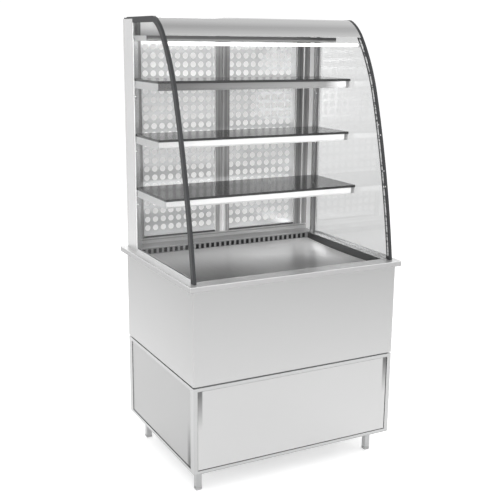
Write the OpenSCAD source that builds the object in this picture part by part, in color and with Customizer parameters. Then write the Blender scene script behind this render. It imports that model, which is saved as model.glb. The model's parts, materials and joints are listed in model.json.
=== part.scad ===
/* [Worktop] */
// Width of the worktop
worktop_w = 990; // [900:1:1150]
// Depth of the worktop
worktop_d = 780; // [740:1:860]
// Height of the worktop above the floor
worktop_h = 900; // [860:1:960]
// Thickness of the worktop sheet
top_sheet = 1.5; // [1:0.1:2.5]
// Height of the turned-down rim
rim_h = 22; // [16:1:32]
// Width of the rim's inward return
rim_return = 12; // [6:1:14]
// Radius of the worktop's corners
top_corner_r = 3; // [2:0.5:8]
// Worktop overhang beside the cabinet
overhang_side = 20; // [16:1:28]
// Worktop overhang in front of the cabinet
overhang_front = 18; // [16:1:30]
// Worktop overhang behind the cabinet
overhang_rear = 34; // [30:1:44]

/* [Legs] */
// Height of the legs, floor to base pan
leg_h = 110; // [80:1:160]
// Side of the square leg tube
leg_size = 24; // [20:1:32]
// Wall of the leg tube
leg_wall = 1.5; // [1:0.1:2.5]
// Side of the leg's welded top plate
leg_plate = 60; // [48:1:80]
// Thickness of the leg's top plate
leg_plate_t = 4; // [2:0.5:6]
// Distance of a leg from the cabinet's side
leg_inset_side = 43; // [30:1:80]
// Distance of a leg from the cabinet's front or back
leg_inset_end = 72; // [40:1:110]
// Height of the plastic foot below the tube
foot_h = 10; // [6:1:20]
// Width that the foot stands out around the tube
foot_flare = 1; // [0:0.25:3]

/* [Base] */
// Height of the lower compartment
base_h = 370; // [350:1:420]
// Thickness of the base pan
pan_sheet = 2; // [1.5:0.1:3]
// Width of a corner post seen from the front
post_w = 18; // [14:1:28]
// Depth of a corner post seen from the side
post_d = 32; // [24:1:44]
// Height of the frame's rails
rail_h = 15; // [12:1:24]
// Depth of the frame's rails
rail_d = 30; // [26:1:40]
// Height of the dark gap under the upper body
shadow_gap = 6; // [3:1:12]
// Setback of the dark gap
shadow_setback = 10; // [6:1:16]
// Visible gap round a lower panel
panel_gap = 2; // [1:0.5:4]
// Setback of a lower panel's face
panel_inset = 3; // [1:0.5:5]
// Depth of a lower panel's joggled edge
panel_step = 6; // [4:0.5:10]
// Thickness of the panel sheet
panel_sheet = 1.2; // [0.8:0.1:2]

/* [Upper body] */
// Thickness of the body's outer sheet
body_sheet = 1.2; // [0.8:0.1:2]
// Distance from the cabinet's side to the well
well_side = 36; // [32:1:60]
// Distance from the cabinet's front to the well
well_front = 50; // [36:1:80]
// Distance from the cabinet's back to the well
well_rear = 36; // [32:1:50]
// Foam under the well
well_foam = 72; // [40:1:110]
// Thickness of the well's sheet
liner_sheet = 1.2; // [0.8:0.1:2]
// Width of the liner's flange under the worktop
liner_flange = 12; // [8:1:20]
// Bore of the drain
drain_d = 24; // [16:1:32]
// Wall of the drain pipe
drain_wall = 2; // [1:0.1:3]

/* [Display deck] */
// Depth of the deck's edges below the worktop
deck_drop = 29; // [20:1:45]
// Sag of the dished deck
deck_sag = 8; // [4:0.5:16]
// Thickness of the deck sheet
deck_sheet = 1.5; // [1:0.1:2.5]
// Gap round the deck
deck_gap = 1.5; // [0.5:0.5:4]
// Height of the deck's turned-down lip
deck_lip = 18; // [10:1:24]
// Distance from the well's rear wall to the air grille
duct_d = 27; // [20:1:40]
// Width of an air slot
slot_w = 15; // [8:1:18]
// Height of an air slot
slot_h = 21; // [10:1:22]
// Spacing of the air slots
slot_pitch = 26; // [22:1:40]

/* [Glass sides] */
// Height of the glass above the worktop
glass_h = 1005; // [900:1:1100]
// Glass front edge behind the cabinet's front
glass_front = 12.5; // [4:0.5:30]
// Lean of the glass front edge at its foot, in degrees
lean_foot = 8; // [6:0.1:10]
// Lean where the long front arc ends
lean_front = 17.6; // [15:0.1:20]
// Lean where the shoulder arc ends
lean_shoulder = 36.8; // [30:0.1:42]
// Lean where the brow arc ends
lean_brow = 66; // [55:0.5:74]
// Radius of the shoulder arc
shoulder_r = 811; // [760:1:860]
// Radius of the brow arc
brow_r = 215; // [190:1:240]
// Radius of the last arc into the flat top
crown_r = 60; // [50:1:80]
// Thickness of the side glass
glass_t = 6; // [5:0.5:8]
// Distance of the glass's outer face from the cabinet's side
glass_inset = 10; // [8:0.5:14]
// Depth of the dark edge trim
trim_d = 24; // [18:1:32]
// Depth of trim beyond the glass's edge
trim_back = 8; // [4:1:12]
// Reach of the thin trim along the casing's top
trim_tail = 68; // [20:1:100]
// Outer wall of the trim
trim_outer = 2; // [1:0.5:3]
// Inner wall of the trim
trim_inner = 4; // [2:0.5:6]
// Free gap between the glass's edge and the trim's groove
edge_gap = 0.3; // [0.1:0.1:1]
// Height of the glass's foot channel
channel_h = 15; // [10:1:24]
// Floor of the foot channel
channel_floor = 3; // [1:0.5:5]

/* [Casing] */
// Casing front edge ahead of the cabinet's rear
casing_rear = 103; // [96:1:110]
// Depth of the casing cheeks
cheek_d = 117; // [114:1:119]
// Thickness of the casing cheeks
cheek_t = 3; // [2:0.5:3.5]
// Distance of a cheek's outer face from the cabinet's side
cheek_inset = 9; // [8:0.5:12]
// Drop of the cheek's top below the glass trim's top
cheek_drop = 8; // [5:1:12]
// Width of the cheek's rear flange
cheek_flange = 20; // [14:1:26]
// Setback of the perforated sheet from the casing's front edge
wall_setback = 110; // [100:1:111]
// Thickness of the perforated sheet
perf_sheet = 1.2; // [0.8:0.1:1.5]
// Thickness of the white liner behind it
white_sheet = 2.5; // [1:0.5:3.5]
// Thickness of the rear foam
rear_foam = 19.8; // [14:0.1:22]
// Thickness of the rear cover's sheet
cover_sheet = 1.5; // [1:0.1:2]
// Inset of the rear cover from the cheeks' outer faces
cover_inset = 8; // [6:1:12]

/* [Perforated wall] */
// Diameter of the holes
hole_d = 27; // [16:1:30]
// Spacing of the columns of holes
column_pitch = 38.1; // [34:0.1:44]
// Spacing of the rows of holes
row_pitch = 38.4; // [34:0.1:41]
// Height of the lowest row's centres above the worktop
hole_foot = 77; // [70:1:110]
// Rows of holes
hole_rows = 22; // [18:1:22]
// Columns of holes
hole_columns = 20; // [16:2:20]
// Sideways offset of the hole grid
hole_shift = -8; // [-10:0.5:10]
// Width of a mullion
mullion_w = 70; // [50:1:90]
// Depth of a mullion
mullion_d = 13; // [8:1:20]
// Thickness of a mullion's sheet
mullion_sheet = 1.5; // [1:0.1:2]
// Depth of the groove down a mullion's middle
groove_d = 4; // [2:0.5:6]
// Width of that groove
groove_w = 12; // [6:1:20]

/* [Sill] */
// Height of the sill's sloping face
sill_slope_h = 9; // [5:0.5:14]
// Height of the sill's upright band
sill_band_h = 15; // [8:1:20]
// Height of the shadow step above the band
sill_step_h = 8; // [4:0.5:12]
// Depth of the shadow step
sill_step_d = 6; // [3:0.5:9]
// Setback of the band from the perforated wall
sill_band_setback = 15; // [14:1:22]
// Thickness of the sill sheet
sill_sheet = 1.5; // [1:0.1:2.5]

/* [Uprights and shelves] */
// Width of a corner upright
upright_w = 24; // [18:1:28]
// Setback of an upright's face behind the casing's front edge
upright_setback = 10; // [0:1:14]
// Depth of a corner upright
upright_d = 12; // [8:1:16]
// Width of the upright above the top rail
upright_neck = 11; // [8:1:14]
// Height of the lower shelf above the worktop
shelf_low = 285; // [260:1:310]
// Height of the middle shelf above the worktop
shelf_mid = 518; // [490:1:545]
// Height of the upper shelf above the worktop
shelf_top = 752; // [725:1:780]
// Depth of the lower shelf in front of the casing
shelf_depth_low = 326; // [280:1:350]
// Depth of the middle and upper shelves in front of the casing
shelf_depth = 258; // [220:1:280]
// Thickness of a shelf plate
shelf_t = 10; // [6:0.5:12]
// Gap between a shelf's end and the glass
shelf_gap = 0.5; // [0.3:0.1:3]
// Rearward reach of a shelf between the uprights
shelf_tail = 9; // [4:1:11]
// Height of a shelf's front bar
bar_h = 29; // [24:1:34]
// Thickness of a shelf's front bar
bar_t = 10; // [8:1:16]
// Height of the foot that slopes back under the bar's face
lip_h = 7; // [4:1:9]
// Distance that the foot slopes back
lip_t = 4; // [2:0.5:5]
// Setback of the bar under the shelf's front edge
bar_setback = 4; // [2:1:12]
// Bar left short of the right-hand bracket
bar_short = 17; // [4:1:30]
// Height of a bracket arm
arm_h = 30; // [22:1:40]
// Thickness of a bracket arm
arm_t = 3; // [2:0.5:5]
// Radius of the arm's lower front corner
arm_r = 14; // [6:1:20]
// Drop from the top of the glass to the top rail's upper face
top_rail_z = 76; // [70:1:105]
// Height of the top rail
top_rail_h = 21; // [16:1:28]
// Thickness of the top rail
top_rail_t = 12; // [11:1:18]
// Reach of the top rail in front of the casing
top_rail_reach = 137; // [110:1:170]
// Radius of the top rail's lower front edge
top_rail_r = 8; // [4:1:10]

/* [Canopy and lamp] */
// Thickness of the canopy sheet
canopy_sheet = 1.5; // [1:0.1:2]
// Setback of the canopy's face inside the trim's outline
canopy_step = 1; // [0.5:0.5:3]
// Drop from the top of the glass to the canopy's lower edge
canopy_foot = 75; // [65:1:90]
// Width of the canopy's inward lip
canopy_lip = 18; // [10:1:26]
// Drop of the canopy's rear flange
canopy_fold = 24; // [14:1:40]
// Drop from the top of the glass to the lamp's middle
lamp_z = 107; // [100:1:125]
// Lamp's front behind the canopy's lower edge
lamp_front = 4.105; // [0:0.005:17]
// Height of the lamp profile
lamp_h = 14; // [12:1:20]
// Depth of the lamp profile
lamp_d = 11; // [8:1:16]
// Length of a lamp holder
holder_l = 10; // [6:1:16]
// Height of a lamp holder
holder_h = 18; // [18:1:26]
// Rim of a lamp holder in front of and behind the lamp
holder_rim = 2; // [1:0.5:4]

/* [Machinery] */
// Radius of the evaporator fans
evap_fan_r = 84; // [70:1:90]
// Distance of an evaporator fan from the middle
evap_fan_x = 190; // [150:1:230]
// Radius of the condenser fan
cond_fan_r = 118; // [100:1:124]
// Number of blades on a fan
blades = 5; // [4:1:7]
// Gap between a blade's tip and its ring
tip_gap = 4; // [3:0.5:6]
// Radius of a fan's shaft
shaft_r = 4; // [3:0.5:5]
// Radial running clearance of a shaft
run_gap = 0.05; // [0.03:0.01:0.1]
// Radius of the compressor's can
can_r = 84; // [70:1:95]
// Height of the compressor's can
can_h = 178; // [150:1:200]
// Number of fins on a coil
fins = 24; // [12:1:32]
// Radius of a coil's tubes
tube_r = 5; // [4:0.5:6]
// Radius of the refrigerant pipes
pipe_r = 4; // [3:0.5:5]

/* [Controls] */
// Width of the control panel
panel_w = 190; // [176:1:210]
// Height of the control panel
panel_h = 96; // [88:1:120]
// Diameter of the thermostat knob
knob_d = 42; // [34:1:48]
// Height of the thermostat knob
knob_h = 17; // [12:1:24]
// Turn of the thermostat knob, in degrees
knob_turn = 270; // [200:5:300]
// Width of a rocker switch
rocker_w = 14; // [12:0.5:18]
// Length of a rocker switch
rocker_l = 24; // [20:1:28]
// Tilt of a rocker each way, in degrees
rocker_tilt = 8; // [5:1:10]
// Gap round a rocker
rocker_gap = 0.6; // [0.4:0.1:1]
// Bore of the mains cable gland
gland_bore_r = 4.5; // [3:0.5:5.5]
// Length of the gland outside the panel
gland_l = 20; // [16:1:26]

/* [Hidden] */
$fn = 48;
// Facets of a circle whose radius is far larger than its arc
long_arc = 720;
// Overlap that makes cuts clean
cut = 1;
// Depth of the outline's curved slices
slice_deep = 10;

// Cabinet's outline in plan
side_x = worktop_w/2 - overhang_side;
front_y = -worktop_d/2 + overhang_front;
rear_y = worktop_d/2 - overhang_rear;
// Levels from the floor up
base_z = leg_h;
floor_z = base_z + pan_sheet;
base_top = base_z + base_h;
body_z = base_top + shadow_gap;
sheet_z = worktop_h - top_sheet;
well_z = body_z + body_sheet + well_foam + liner_sheet;
deck_z = worktop_h - deck_drop;
top_z = worktop_h + glass_h;
cheek_top = top_z - cheek_drop;
// The well in plan
well_x = side_x - well_side;
well_y0 = front_y + well_front;
well_y1 = rear_y - well_rear;
grille_y = well_y1 - duct_d;
// The casing's layers from front to back
casing_y = rear_y - casing_rear;
cheek_y = casing_y + cheek_d;
wall_y = casing_y + wall_setback;
upright_y = casing_y + upright_setback;
white_y = wall_y + perf_sheet;
foam_y = white_y + white_sheet;
cover_y = foam_y + rear_foam;
cheek_x = side_x - cheek_inset - cheek_t;
wall_top = cheek_top - 4;
sill_top = worktop_h + sill_slope_h + sill_band_h + sill_step_h;
// Glass, trim and what runs between them
glass_x = side_x - glass_inset;
trim_x0 = glass_x + trim_outer;
trim_x1 = glass_x - glass_t - trim_inner;
inner_x = glass_x - glass_t;
shelf_x = inner_x - shelf_gap;
shelf_levels = [shelf_low, shelf_mid, shelf_top];
shelf_depths = [shelf_depth_low, shelf_depth, shelf_depth];
screw_drop = 76;
screw_r = 2.5;
// Machinery's places
fan_plate_y = 150;
fan_plate_t = 2;
fan_plate_z = deck_z - deck_sag - 24;
evap_fan_z = (well_z + fan_plate_z)/2;
hub_share = 0.3;
motor_l = 46;
cond_x = 150;
cond_z = floor_z + 150;
cond_w = 300;
cond_h = 290;
cond_y0 = rear_y - 96;
cond_d = 60;
shroud_y = cond_y0 - 40;
can_x = -270;
can_y = 60;
can_foot = 16;
drain_x = -60;
drain_y = -160;
dish_h = 46;
dish_wall = 2;
dish_size = [170, 120];
dish_behind = [60, 40];
dish_high = [drain_x + dish_behind[0], drain_y + dish_behind[1], floor_z + dish_h];
dish_low = dish_high - [dish_size[0], dish_size[1], dish_h];
// Control panel's place on the rear grille
panel_from_side = 145;
panel_x = panel_from_side - side_x;
panel_z = floor_z + 250;
fascia_t = 3;
box_d = 60;
grille_face_y = rear_y - panel_inset;
knob_x = panel_x + 52;
power_x = panel_x + 4;
light_x = panel_x - 26;
gland_x = panel_x - 66;
pivot_r = 1.5;
pivot_gap = 0.15;
pivot_in = 4;

function unit(a) = [cos(a), -sin(a)];
function arc_rise(r, a, b) = r*[cos(a) - cos(b), sin(b) - sin(a)];

// The long front arc takes the height that the other arcs leave
front_r = (glass_h - arc_rise(shoulder_r, lean_front, lean_shoulder)[1]
    - arc_rise(brow_r, lean_shoulder, lean_brow)[1]
    - arc_rise(crown_r, lean_brow, 90)[1]) / (sin(lean_front) - sin(lean_foot));
arc_leans = [lean_foot, lean_front, lean_shoulder, lean_brow, 90];
arc_radii = [front_r, shoulder_r, brow_r, crown_r];
profile_p0 = [front_y + glass_front, worktop_h];
profile_p1 = profile_p0 + arc_rise(front_r, lean_foot, lean_front);
profile_p2 = profile_p1 + arc_rise(shoulder_r, lean_front, lean_shoulder);
profile_p3 = profile_p2 + arc_rise(brow_r, lean_shoulder, lean_brow);
profile_p4 = profile_p3 + arc_rise(crown_r, lean_brow, 90);
profile_joints = [profile_p0, profile_p1, profile_p2, profile_p3, profile_p4];

function arc_centre(i) = profile_joints[i] + arc_radii[i]*unit(arc_leans[i]);

// A point on arc i moved in by d, where its lean is a
function arc_point(i, a, d) = arc_centre(i) - (arc_radii[i] - d)*unit(a);

// The first arc runs on a little below the worktop, where it is cut off level
function slice_start(i) = arc_leans[i] - (i == 0 ? 0.8 : 0);

// How far the slices' blanks must reach out to clear every arc
slice_reach = cut + max([for (i = [0:3]) arc_radii[i]*(1/cos((arc_leans[i + 1] - slice_start(i))/2) - 1)]);

module block(low, high) {
    translate(low) cube(high - low);
}

module both_sides() {
    children();
    mirror([1, 0, 0]) children();
}

module on_side(right) {
    if (right) mirror([1, 0, 0]) children();
    else children();
}

// Lays a drawing of depth and height along the width, from x0 to x1
module along_x(x0, x1) {
    translate([x0, 0, 0]) rotate([90, 0, 90]) linear_extrude(x1 - x0) children();
}

// Stands a drawing of width and height up, from y0 back to y1
module along_y(y0, y1) {
    translate([0, y1, 0]) rotate([90, 0, 0]) linear_extrude(y1 - y0) children();
}

// A cylinder that runs back from y0 to y1
module rod_y(x, z, y0, y1, r) {
    translate([x, y1, z]) rotate([90, 0, 0]) cylinder(h = y1 - y0, r = r);
}

module rod_x(y, z, x0, x1, r, facets = 48) {
    translate([x0, y, z]) rotate([0, 90, 0]) cylinder(h = x1 - x0, r = r, $fn = facets);
}

module round_square(w, d, r) {
    square([w - 2*r, d], center = true);
    square([w, d - 2*r], center = true);
    for (x = [-1, 1], y = [-1, 1]) {
        translate([x*(w/2 - r), y*(d/2 - r)]) circle(r = r);
    }
}

// Everything inside the glass's outline moved in by d, back to the given rear, from x0 to x1
module glass_slab(d, rear, x0, x1) {
    intersection() {
        union() {
            for (i = [0:3]) arc_slice(i, d, x0, x1);
            block([x0, profile_p4[0], top_z - d - slice_deep], [x1, rear, top_z - d]);
            along_x(x0, x1) polygon([for (i = [0:3]) arc_point(i, slice_start(i), d + slice_deep/2),
                arc_point(3, 90, d + slice_deep/2), [rear, top_z - d - slice_deep/2],
                [rear, arc_point(0, slice_start(0), d + slice_deep/2)[1]]]);
        }
        block([x0 - cut, front_y - cut, worktop_h], [x1 + cut, rear + cut, top_z + cut]);
    }
}

// The outer slice_deep of arc i, between the radii at its two ends
module arc_slice(i, d, x0, x1) {
    a0 = slice_start(i);
    a1 = arc_leans[i + 1];
    intersection() {
        rod_x(arc_centre(i)[0], arc_centre(i)[1], x0, x1, arc_radii[i] - d, long_arc);
        along_x(x0, x1) polygon([arc_point(i, a0, d + slice_deep), arc_point(i, a0, d - slice_reach),
            arc_point(i, a1, d - slice_reach), arc_point(i, a1, d + slice_deep)]);
    }
}

module base_pan() {
    color("silver") difference() {
        block([-side_x + cut, front_y + cut, base_z], [side_x - cut, rear_y - cut, floor_z]);
        translate([drain_x + 90, drain_y + 60, base_z - cut])
            cylinder(h = pan_sheet + 2*cut, r = drain_d/2);
    }
}

// Section of a top rail: its upper, inner half carries the body above the dark gap
module top_rail_section() {
    polygon([[0, 0], [rail_d, 0], [rail_d, rail_h + shadow_gap], [shadow_setback, rail_h + shadow_gap],
        [shadow_setback, rail_h], [0, rail_h]]);
}

module base_frame() {
    color("gainsboro") {
        for (x = [-1, 1], y = [0, 1]) {
            y0 = y == 0 ? front_y : rear_y - post_d;
            x0 = x < 0 ? -side_x : side_x - post_w;
            block([x0, y0, floor_z], [x0 + post_w, y0 + post_d, base_top]);
        }
        both_sides() {
            block([-side_x, front_y + post_d - cut, floor_z],
                [-side_x + rail_d, rear_y - post_d + cut, base_z + rail_h]);
            translate([-side_x, rear_y - post_d + cut, base_top - rail_h]) rotate([90, 0, 0])
                linear_extrude(rear_y - front_y - 2*post_d + 2*cut) top_rail_section();
        }
        for (back = [0, 1]) mirror([0, back, 0]) {
            y0 = back == 0 ? front_y : -rear_y;
            block([-side_x + post_w - cut, y0, floor_z],
                [side_x - post_w + cut, y0 + rail_d, base_z + rail_h]);
            translate([0, y0, base_top - rail_h]) along_x(-side_x + shadow_setback, side_x - shadow_setback)
                intersection() {
                    top_rail_section();
                    translate([0, rail_h - cut]) square([rail_d, shadow_gap + cut]);
                }
            translate([0, y0, base_top - rail_h]) along_x(-side_x + post_w - cut, side_x - post_w + cut)
                top_rail_section();
        }
    }
}

module leg(right, rear) {
    x0 = -side_x + leg_inset_side + leg_size/2;
    y0 = rear ? rear_y - leg_inset_end - leg_size/2 : front_y + leg_inset_end + leg_size/2;
    color("lightgray") on_side(right) translate([x0, y0, 0]) {
        translate([0, 0, foot_h]) linear_extrude(base_z - leg_plate_t - foot_h) difference() {
            square(leg_size, center = true);
            square(leg_size - 2*leg_wall, center = true);
        }
        translate([0, 0, base_z - leg_plate_t]) linear_extrude(leg_plate_t)
            round_square(leg_plate, leg_plate, 4);
    }
}

module leg_feet() {
    color("dimgray") both_sides() for (y0 = [front_y + leg_inset_end + leg_size/2,
            rear_y - leg_inset_end - leg_size/2]) {
        translate([-side_x + leg_inset_side + leg_size/2, y0, 0]) {
            linear_extrude(foot_h) round_square(leg_size + 2*foot_flare, leg_size + 2*foot_flare, 3);
            translate([0, 0, foot_h - cut]) linear_extrude(cut + 14)
                square(leg_size - 2*leg_wall, center = true);
        }
    }
}

// A panel whose edge steps back to a flange that seats in its opening
module joggled_panel(w, h) {
    along_y(0, panel_sheet) square([w - 2*panel_gap, h - 2*panel_gap], center = true);
    along_y(0, panel_step) difference() {
        square([w - 2*panel_gap, h - 2*panel_gap], center = true);
        square([w - 2*panel_gap - 2*panel_sheet, h - 2*panel_gap - 2*panel_sheet], center = true);
    }
    along_y(panel_step - panel_sheet, panel_step) difference() {
        square([w, h], center = true);
        square([w - 2*panel_gap - 2*panel_sheet, h - 2*panel_gap - 2*panel_sheet], center = true);
    }
}

panel_open_h = base_top - base_z - 2*rail_h;
panel_mid_z = (base_top + base_z)/2;

module lower_front_panel() {
    color("whitesmoke") translate([0, front_y + panel_inset, panel_mid_z])
        joggled_panel(2*(side_x - post_w), panel_open_h);
}

module lower_side_panel(right) {
    color("gainsboro") on_side(right)
        translate([-side_x + panel_inset, (front_y + rear_y)/2, panel_mid_z]) rotate([0, 0, -90])
            joggled_panel(rear_y - front_y - 2*post_d, panel_open_h);
}

louvre_w = 110;
louvre_pitch = 22;
louvre_rows = 11;
louvre_hood = 8;
louvre_columns = [60, 180, 300];
grille_screws = [for (x = [-1, 0, 1], z = [-1, 1]) [x*(side_x - post_w - 14), panel_mid_z + z*(panel_open_h/2 - 14)]];

// The rear service panel, with hooded louvres and the control panel's window
module rear_service_grille() {
    w = 2*(side_x - post_w);
    y0 = grille_face_y - panel_sheet;
    color("silver") {
        along_y(y0, grille_face_y) difference() {
            translate([0, panel_mid_z]) square([w, panel_open_h], center = true);
            for (x = louvre_columns, i = [0:louvre_rows - 1]) {
                translate([x, panel_mid_z + (i - (louvre_rows - 1)/2)*louvre_pitch])
                    square([louvre_w, louvre_hood - 2], center = true);
            }
            translate([panel_x, panel_z]) square([panel_w - 16, panel_h - 16], center = true);
            for (p = grille_screws) translate(p) circle(r = screw_r);
        }
        for (x = louvre_columns, i = [0:louvre_rows - 1]) {
            translate([0, grille_face_y, panel_mid_z + (i - (louvre_rows - 1)/2)*louvre_pitch])
                along_x(x - louvre_w/2, x + louvre_w/2) louvre_section();
        }
    }
}

module louvre_section() {
    polygon([[-cut, louvre_hood/2], [0, louvre_hood/2], [louvre_hood - 2, 0], [louvre_hood - 2, -1.2],
        [0, louvre_hood/2 - 1.2], [-cut, louvre_hood/2 - 1.2]]);
}

module compressor() {
    color("dimgray") translate([can_x, can_y, floor_z]) {
        translate([0, 0, can_foot]) rotate_extrude() intersection() {
            union() {
                translate([0, can_r*0.45]) square([can_r, can_h - can_r*0.9]);
                for (z = [can_r*0.45, can_h - can_r*0.45]) translate([0, z]) scale(0.45) circle(r = can_r);
                translate([0, 14]) square([can_r*0.75, can_h - 28]);
                for (z = [can_r*0.45, can_h - can_r*0.45]) translate([can_r*0.55, z]) circle(r = can_r*0.45);
                translate([0, 0]) square([can_r*0.55, can_h]);
            }
            square([can_r, can_h]);
        }
        translate([0, 0, can_foot - 3]) linear_extrude(5) difference() {
            round_square(2*can_r + 24, 2*can_r + 4, 18);
            for (x = [-1, 1], y = [-1, 1]) translate([x*(can_r - 4), y*(can_r - 14)]) circle(r = 6);
        }
        for (x = [-1, 1], y = [-1, 1]) translate([x*(can_r - 4), y*(can_r - 14), 0]) {
            cylinder(h = can_foot - 3, r = 11);
            cylinder(h = can_foot + 8, r = 6);
        }
        block([can_r - 16, -22, can_foot + can_h*0.45], [can_r + 20, 22, can_foot + can_h*0.45 + 52]);
    }
}

coil_pitch = 40;
coil_end = 4;

// An even number of rows, so that both ends of the tube come out on the left
function coil_rows(h) = 2*floor((h - 2*tube_r - 12)/(2*coil_pitch));
function coil_low_z(h) = (h - (coil_rows(h) - 1)*coil_pitch)/2;

// A finned coil with its tubes joined by return bends, w wide, d deep and h high
module finned_coil(w, d, h) {
    rows = coil_rows(h);
    z0 = coil_low_z(h);
    for (i = [0:fins - 1]) {
        x = -w/2 + 12 + i*(w - 24)/(fins - 1);
        block([x - 0.6, 0, 4], [x + 0.6, d, h - 4]);
    }
    for (x = [-w/2, w/2 - 2]) block([x, 0, 0], [x + 2, d, h]);
    for (i = [0:rows - 1]) rod_x(d/2, z0 + i*coil_pitch, -w/2 - coil_end, w/2 + coil_end, tube_r);
    for (i = [0:rows - 2]) {
        x = i % 2 == 0 ? w/2 + coil_end : -w/2 - coil_end;
        turn = i % 2 == 0 ? 0 : 180;
        translate([x, d/2, z0 + (i + 0.5)*coil_pitch]) rotate([90, 0, turn])
            rotate([0, 0, -90]) rotate_extrude(angle = 180) translate([coil_pitch/2, 0]) circle(r = tube_r);
    }
}

module condenser_coil() {
    color("slategray") translate([cond_x, cond_y0, floor_z]) finned_coil(cond_w, cond_d, cond_h);
}

// A fan on its shaft, which points forward along -Y from its hub
module fan_rotor(r, deep) {
    hub = r*hub_share;
    rotate([90, 0, 0]) {
        translate([0, 0, -deep/2]) cylinder(h = deep, r = hub);
        translate([0, 0, deep/2 - cut]) cylinder(h = motor_l*0.7 + cut, r = shaft_r);
    }
    for (i = [0:blades - 1]) rotate([0, i*360/blades, 0]) intersection() {
        translate([0, 0, hub*0.8]) rotate([0, 0, 32])
            along_y(-1, 1) polygon([[-r*0.22, 0], [r*0.22, 0], [r*0.4, r], [-r*0.3, r]]);
        rod_y(0, 0, -deep/2 - 8, deep/2 + 8, r);
        rotate([90, 0, 0]) translate([0, 0, -deep]) difference() {
            cylinder(h = 2*deep, r = r);
            translate([0, 0, -cut]) cylinder(h = 2*deep + 2*cut, r = hub*0.7);
        }
    }
}

// A fan's motor on four struts in front of its ring
module fan_motor(r, deep) {
    hub = r*hub_share;
    y1 = -deep/2 - 2;
    difference() {
        rod_y(0, 0, y1 - motor_l, y1, hub);
        rod_y(0, 0, y1 - motor_l*0.8, y1 + cut, shaft_r + run_gap);
    }
    for (a = [45:90:315]) rotate([0, a, 0])
        block([hub - 2, y1 - motor_l, -5], [r + tip_gap + 2, y1 - motor_l + 4, 5]);
}

module fan_ring(r, y0, y1) {
    difference() {
        rod_y(0, 0, y0, y1, r + tip_gap + 3);
        rod_y(0, 0, y0 - cut, y1 + cut, r + tip_gap);
    }
}

fan_deep = 30;

// Front of a fan's motor, measured from the middle of its hub
function motor_front(deep) = -deep/2 - 2 - motor_l;

module fan_shroud() {
    color("darkslategray") {
        difference() {
            block([cond_x - cond_w/2, cond_y0 - 3, floor_z], [cond_x + cond_w/2, cond_y0, floor_z + cond_h - 20]);
            rod_y(cond_x, cond_z, cond_y0 - 4, cond_y0 + 1, cond_fan_r + tip_gap);
        }
        translate([cond_x, shroud_y, cond_z]) {
            fan_ring(cond_fan_r, motor_front(fan_deep), cond_y0 - shroud_y);
            fan_motor(cond_fan_r, fan_deep);
        }
    }
}

module condenser_fan() {
    color("black") translate([cond_x, shroud_y, cond_z]) fan_rotor(cond_fan_r, fan_deep);
}

// A tube through a list of points whose legs are square to each other
module square_route(points, r, bend) {
    last = len(points) - 1;
    for (i = [0:last - 1]) {
        leg_vec = points[i + 1] - points[i];
        way = leg_vec/norm(leg_vec);
        start = points[i] + (i == 0 ? 0 : bend)*way;
        end = points[i + 1] - (i == last - 1 ? 0 : bend)*way;
        straight_tube(start, end, r);
    }
    for (i = [1:last - 1]) {
        before = (points[i] - points[i - 1])/norm(points[i] - points[i - 1]);
        after = (points[i + 1] - points[i])/norm(points[i + 1] - points[i]);
        elbow(points[i], before, after, r, bend);
    }
}

module straight_tube(start, end, r) {
    way = end - start;
    turn = way[0] != 0 ? [0, 90, 0] : way[1] != 0 ? [-90, 0, 0] : [0, 0, 0];
    low = [for (i = [0:2]) min(start[i], end[i])];
    translate(low) rotate(turn) cylinder(h = norm(way), r = r);
}

module elbow(corner, before, after, r, bend) {
    centre = corner - bend*before + bend*after;
    up = cross(before, after);
    multmatrix([[-after[0], before[0], up[0], centre[0]], [-after[1], before[1], up[1], centre[1]],
            [-after[2], before[2], up[2], centre[2]], [0, 0, 0, 1]])
        rotate_extrude(angle = 90) translate([bend, 0]) circle(r = r);
}

drier_x = -120;
drier_from_rear = 106;
drier_y = rear_y - drier_from_rear;
drier_z = floor_z + 120;
drier_l = 120;
drier_r = 14;
drier_cone = 14;
pipe_bend = 16;
discharge_z = floor_z + can_foot + can_h*0.7;
coil_tube_y = cond_y0 + cond_d/2;
coil_in_z = floor_z + cond_h - coil_low_z(cond_h);
coil_out_z = floor_z + coil_low_z(cond_h);
can_top = floor_z + can_foot + can_h;
suction_x = can_x - 30;
pipe_end_x = cond_x - cond_w/2 - coil_end;
riser_x = cond_x - cond_w/2 - 60;
discharge_y = can_y + can_r + 50;

module refrigerant_pipes() {
    color("peru") {
        square_route([[can_x, can_y + can_r, discharge_z], [can_x, discharge_y, discharge_z],
            [riser_x, discharge_y, discharge_z], [riser_x, coil_tube_y, discharge_z],
            [riser_x, coil_tube_y, coil_in_z], [pipe_end_x, coil_tube_y, coil_in_z]], pipe_r, pipe_bend);
        square_route([[pipe_end_x, coil_tube_y, coil_out_z], [drier_x, coil_tube_y, coil_out_z],
            [drier_x, drier_y, coil_out_z], [drier_x, drier_y, drier_z]], pipe_r, pipe_bend);
        square_route([[drier_x, drier_y, drier_z + drier_l], [drier_x, drier_y, body_z - 40],
            [drier_x - 40, drier_y, body_z - 40], [drier_x - 40, drier_y, body_z]], pipe_r, pipe_bend);
        square_route([[suction_x, can_y, can_top], [suction_x, can_y, body_z]], pipe_r, pipe_bend);
    }
}

module filter_drier() {
    color("goldenrod") translate([drier_x, drier_y, drier_z]) {
        translate([0, 0, drier_cone]) cylinder(h = drier_l - 2*drier_cone, r = drier_r);
        cylinder(h = drier_cone, r1 = pipe_r + 2, r2 = drier_r);
        translate([0, 0, drier_l - drier_cone]) cylinder(h = drier_cone, r1 = drier_r, r2 = pipe_r + 2);
    }
}

module condensate_pan() {
    color("gray") difference() {
        block(dish_low, dish_high);
        block(dish_low + dish_wall*[1, 1, 1], dish_high + [-dish_wall, -dish_wall, cut]);
    }
}

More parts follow.
